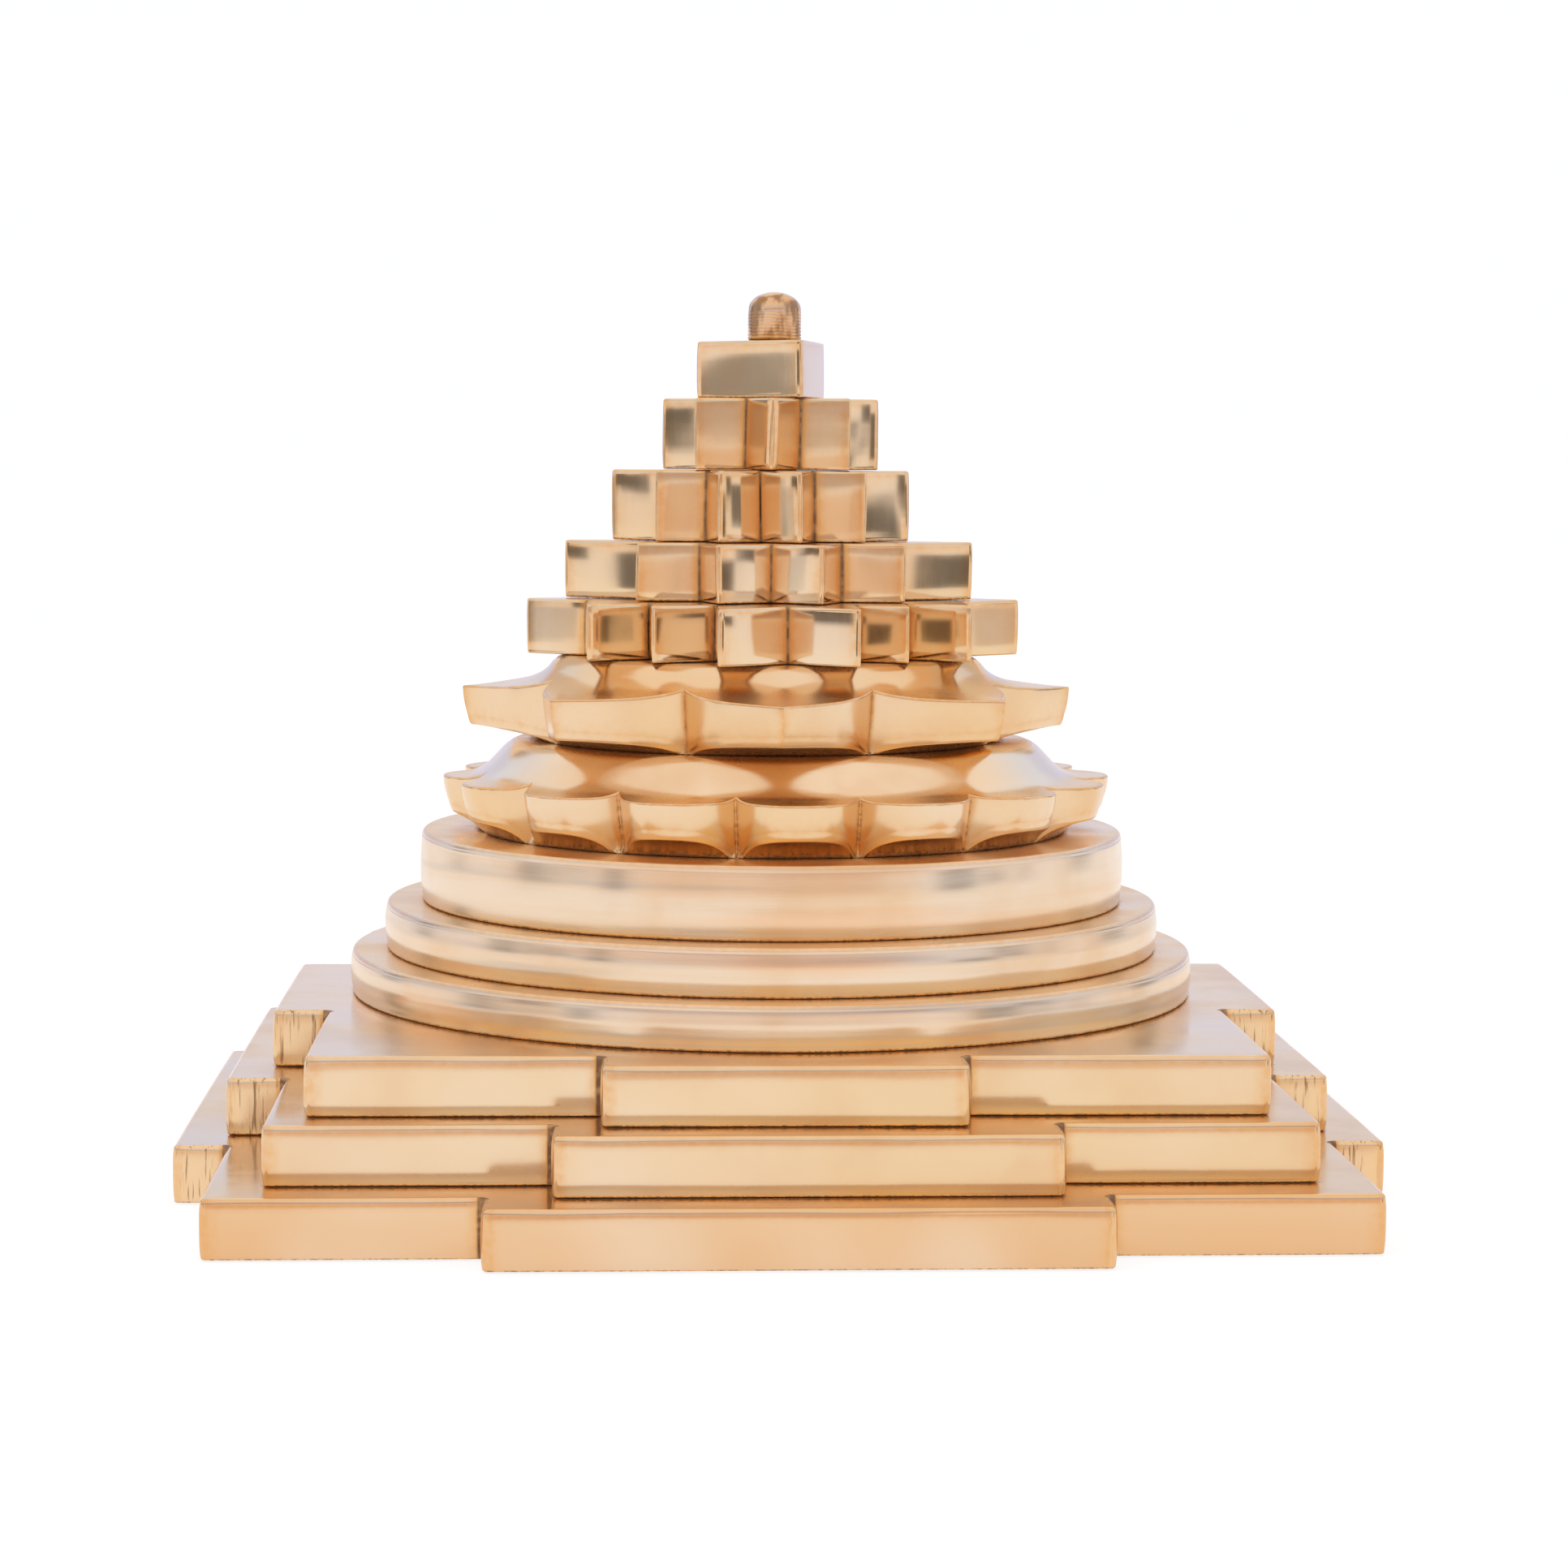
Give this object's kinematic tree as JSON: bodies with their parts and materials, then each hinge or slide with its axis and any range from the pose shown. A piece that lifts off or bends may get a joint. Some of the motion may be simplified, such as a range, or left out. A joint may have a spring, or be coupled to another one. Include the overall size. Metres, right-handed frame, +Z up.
{
  "type": "shri yantra",
  "caption": "Three-dimensional shri yantra: polished brass plates, stepped rings, lotus tiers and star tiers stacked on a domed tie rod.",
  "frame": {"origin": "on the surface the object stands on, under the middle of the stack", "axes": "+Z up the tie rod, X along the long axis of the nine triangles, -Y out of the front gate"},
  "size_m": [0.1524, 0.1524, 0.1145],
  "materials": {
    "plate_brass": "polished, with file marks on the ends of the gates",
    "ring_brass": "turned and polished",
    "lotus_brass": "polished, with old polish in the creases",
    "star_brass": "polished, slightly wavy",
    "rod_brass": "turned, with fine ridges and tarnish",
    "hardware_brass": "plain"
  },
  "bodies": {
    "root": {"bindu_tie_rod": "rod_brass", "trikona_block": "star_brass", "star_8": "star_brass", "star_10_inner": "star_brass", "star_10_outer": "star_brass", "star_14": "star_brass", "lotus_8": "lotus_brass", "lotus_16": "lotus_brass", "ring_top": "ring_brass", "ring_middle": "ring_brass", "ring_bottom": "ring_brass", "bhupura_top": "plate_brass", "bhupura_middle": "plate_brass", "bhupura_bottom": "plate_brass", "washer": "hardware_brass", "nut": "hardware_brass"}
  },
  "joints": []
}
